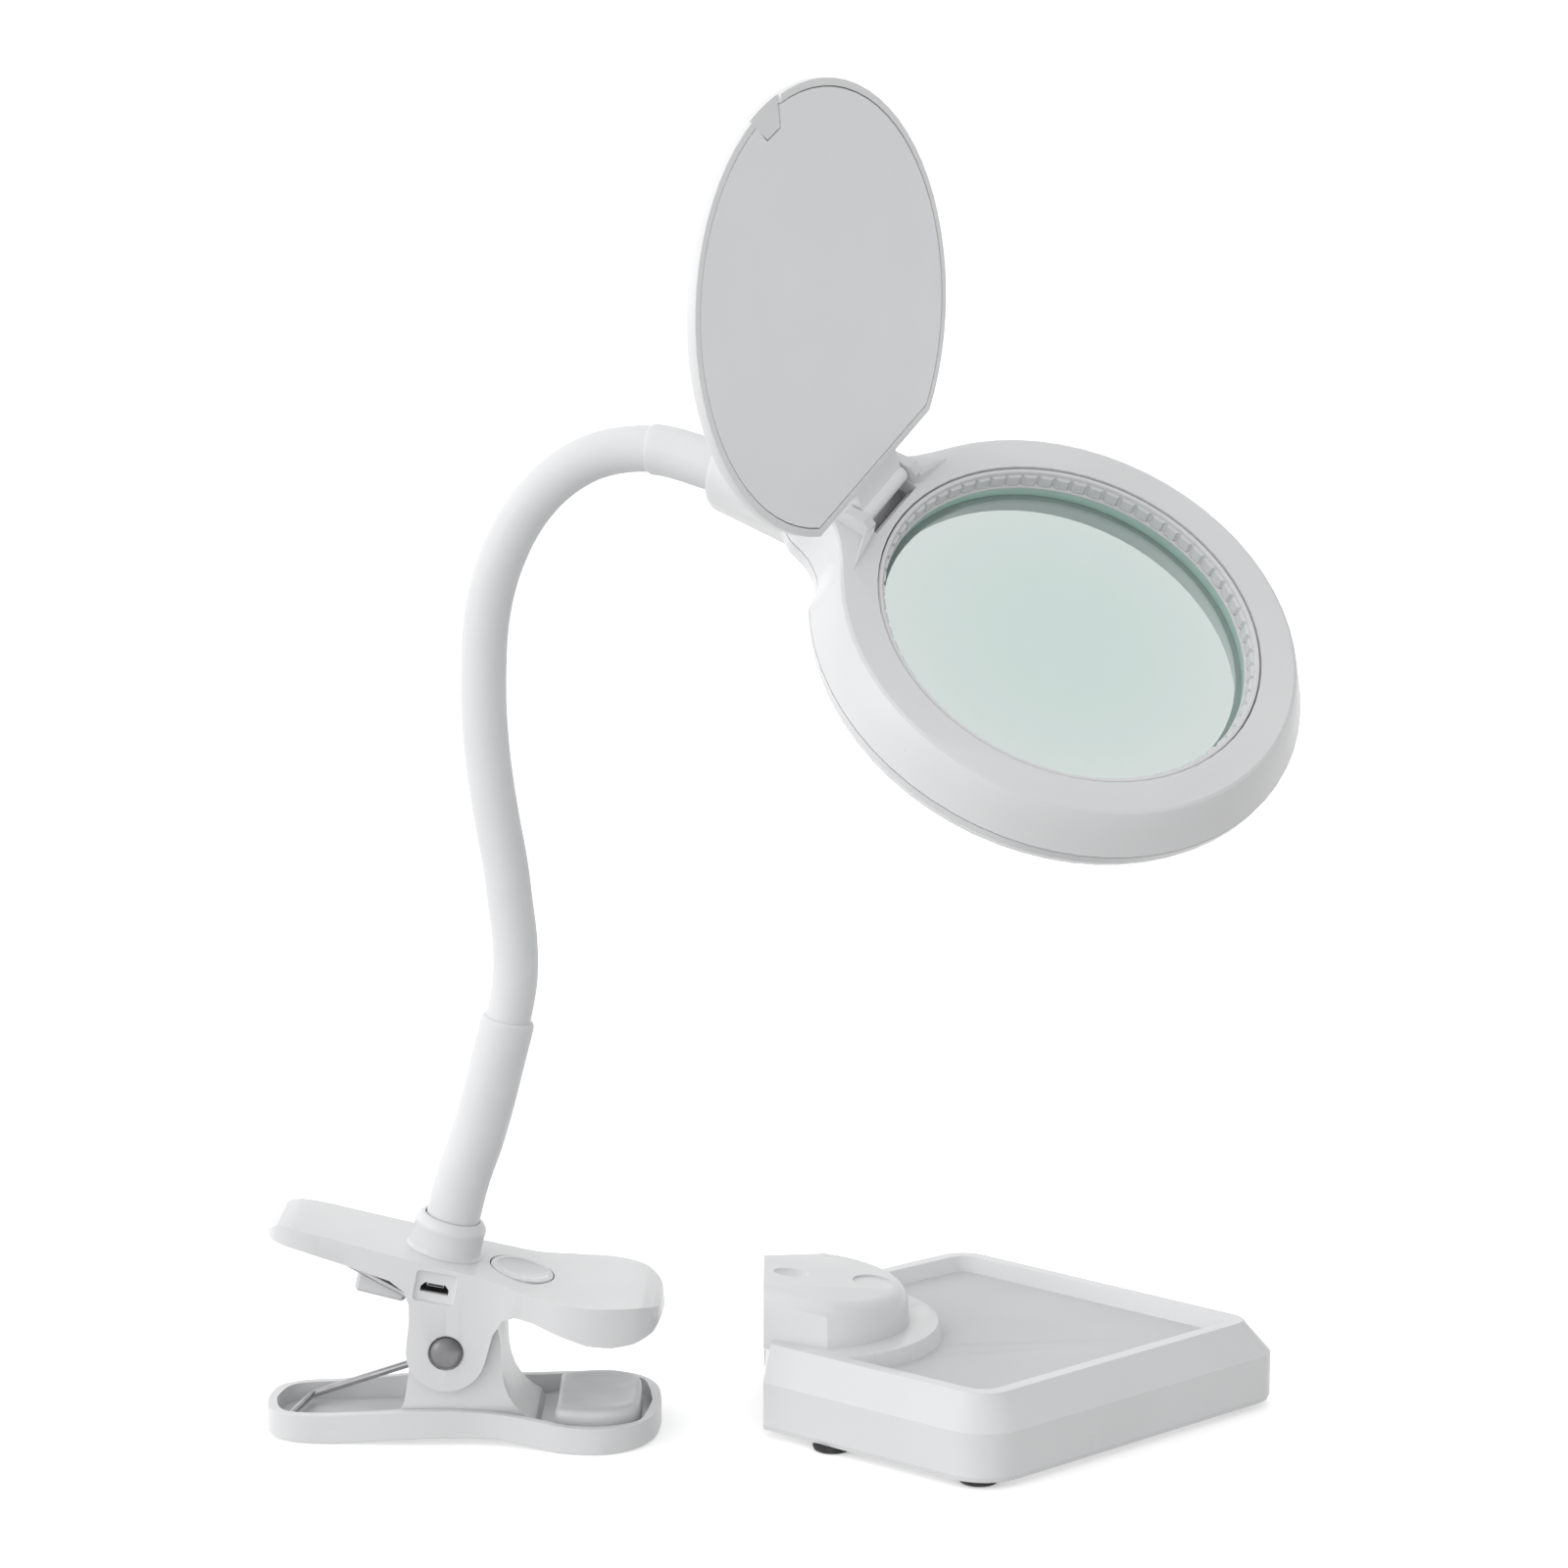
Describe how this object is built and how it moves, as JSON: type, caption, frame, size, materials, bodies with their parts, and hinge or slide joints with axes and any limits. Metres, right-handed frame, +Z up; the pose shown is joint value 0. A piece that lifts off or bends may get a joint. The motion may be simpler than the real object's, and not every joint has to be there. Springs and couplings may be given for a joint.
{
  "type": "clip-on magnifying lamp",
  "caption": "Clip-on magnifying lamp: sprung clamp, bendable gooseneck, round lens head with hinged lid and a separate tray base.",
  "frame": {"origin": "on the surface that the clamp and the base stand on, straight under the clamp's pivot pin", "axes": "+X along the clamp from its handles to its jaws, +Y across the jaws, +Z up"},
  "size_m": [0.2459, 0.17, 0.3219],
  "materials": {
    "white_gloss_plastic": "satin gloss moulding",
    "white_ring_plastic": "satin moulding",
    "grey_panel_plastic": "matte sheet",
    "neck_sleeve": "soft satin sleeve",
    "white_rubber": "matte",
    "black_rubber": "matte",
    "black_plastic": "matte",
    "steel": "satin",
    "satin_chrome": "satin",
    "circuit_board": "solder mask",
    "frosted_plastic": "frosted",
    "lens_glass": "clear, polished"
  },
  "bodies": {
    "lower_clamp": {"lower_jaw_shell": "white_gloss_plastic", "lower_jaw_pad": "white_rubber", "pivot_pin": "steel", "pin_cap_front": "satin_chrome", "pin_cap_back": "satin_chrome", "torsion_spring": "satin_chrome"},
    "upper_clamp": {"upper_jaw_shell": "white_gloss_plastic", "upper_jaw_pad": "white_rubber", "tact_switch": "black_plastic", "control_board": "circuit_board", "usb_board": "circuit_board", "usb_socket": "steel", "electronics_cover": "white_gloss_plastic", "neck_collar": "white_gloss_plastic", "neck_segment_1": "neck_sleeve"},
    "button": {"switch_button": "white_gloss_plastic"},
    "neck_link_2": {"neck_segment_2": "neck_sleeve"},
    "neck_link_3": {"neck_segment_3": "neck_sleeve"},
    "neck_link_4": {"neck_segment_4": "neck_sleeve"},
    "neck_link_5": {"neck_segment_5": "neck_sleeve"},
    "head": {"neck_segment_6": "neck_sleeve", "head_top_housing": "white_gloss_plastic", "head_bottom_housing": "white_gloss_plastic", "lens": "lens_glass", "lens_ring": "white_ring_plastic", "lens_barrel": "white_ring_plastic", "led_board": "circuit_board", "diffuser_ring": "frosted_plastic", "head_screw_1": "steel", "head_screw_2": "steel", "lid_hinge_pin": "steel", "hinge_spring": "steel"},
    "lid": {"lid_cover": "white_gloss_plastic", "lid_panel": "grey_panel_plastic"},
    "base": {"base_tray": "white_gloss_plastic", "dock_plate": "black_plastic", "base_bottom_plate": "white_gloss_plastic", "ballast_plate": "steel", "foot_1": "black_rubber", "foot_2": "black_rubber", "foot_3": "black_rubber", "foot_4": "black_rubber", "foot_5": "black_rubber", "base_screw_1": "steel", "base_screw_2": "steel", "base_screw_3": "steel", "base_screw_4": "steel"}
  },
  "joints": [
    {"name": "clamp_pivot", "type": "hinge", "parent": "lower_clamp", "child": "upper_clamp", "pos_m": [0, 0, 0.023], "axis": [0, -1, 0], "range_deg": [0, 24], "stiffness_Nm_per_rad": 0.4, "springref_deg": -17.19, "deforming": ["torsion_spring"]},
    {"name": "power_button", "type": "slide", "parent": "upper_clamp", "child": "button", "axis": [-0.2487, 0, -0.9686], "range_m": [0, 0.0009], "stiffness_N_per_m": 300, "springref_m": -0.0012},
    {"name": "neck_bend_1", "type": "hinge", "parent": "upper_clamp", "child": "neck_link_2", "pos_m": [0.01679, 0, 0.11448], "axis": [0, 1, 0], "range_deg": [-25, 12]},
    {"name": "neck_bend_2", "type": "hinge", "parent": "neck_link_2", "child": "neck_link_3", "pos_m": [0.01314, 0, 0.14824], "axis": [-0.9864, 0, -0.1641], "range_deg": [-25, 25]},
    {"name": "neck_bend_3", "type": "hinge", "parent": "neck_link_3", "child": "neck_link_4", "pos_m": [0.0101, 0, 0.18305], "axis": [0, 1, 0], "range_deg": [-25, 12]},
    {"name": "neck_bend_4", "type": "hinge", "parent": "neck_link_4", "child": "neck_link_5", "pos_m": [0.01748, 0.00081, 0.21789], "axis": [-0.8841, 0, 0.4673], "range_deg": [-25, 25]},
    {"name": "neck_bend_5", "type": "hinge", "parent": "neck_link_5", "child": "head", "pos_m": [0.04238, -0.00151, 0.23744], "axis": [0.2195, 0.9748, 0.0394], "range_deg": [-25, 20]},
    {"name": "lid_hinge", "type": "hinge", "parent": "head", "child": "lid", "pos_m": [0.1025, -0.03211, 0.22988], "axis": [0.4916, 0.7207, 0.4888], "range_deg": [0, 124.5]},
    {"name": "base_slide", "type": "slide", "parent": "lower_clamp", "child": "base", "axis": [1, 0, 0], "range_m": [0, 0.06]}
  ]
}
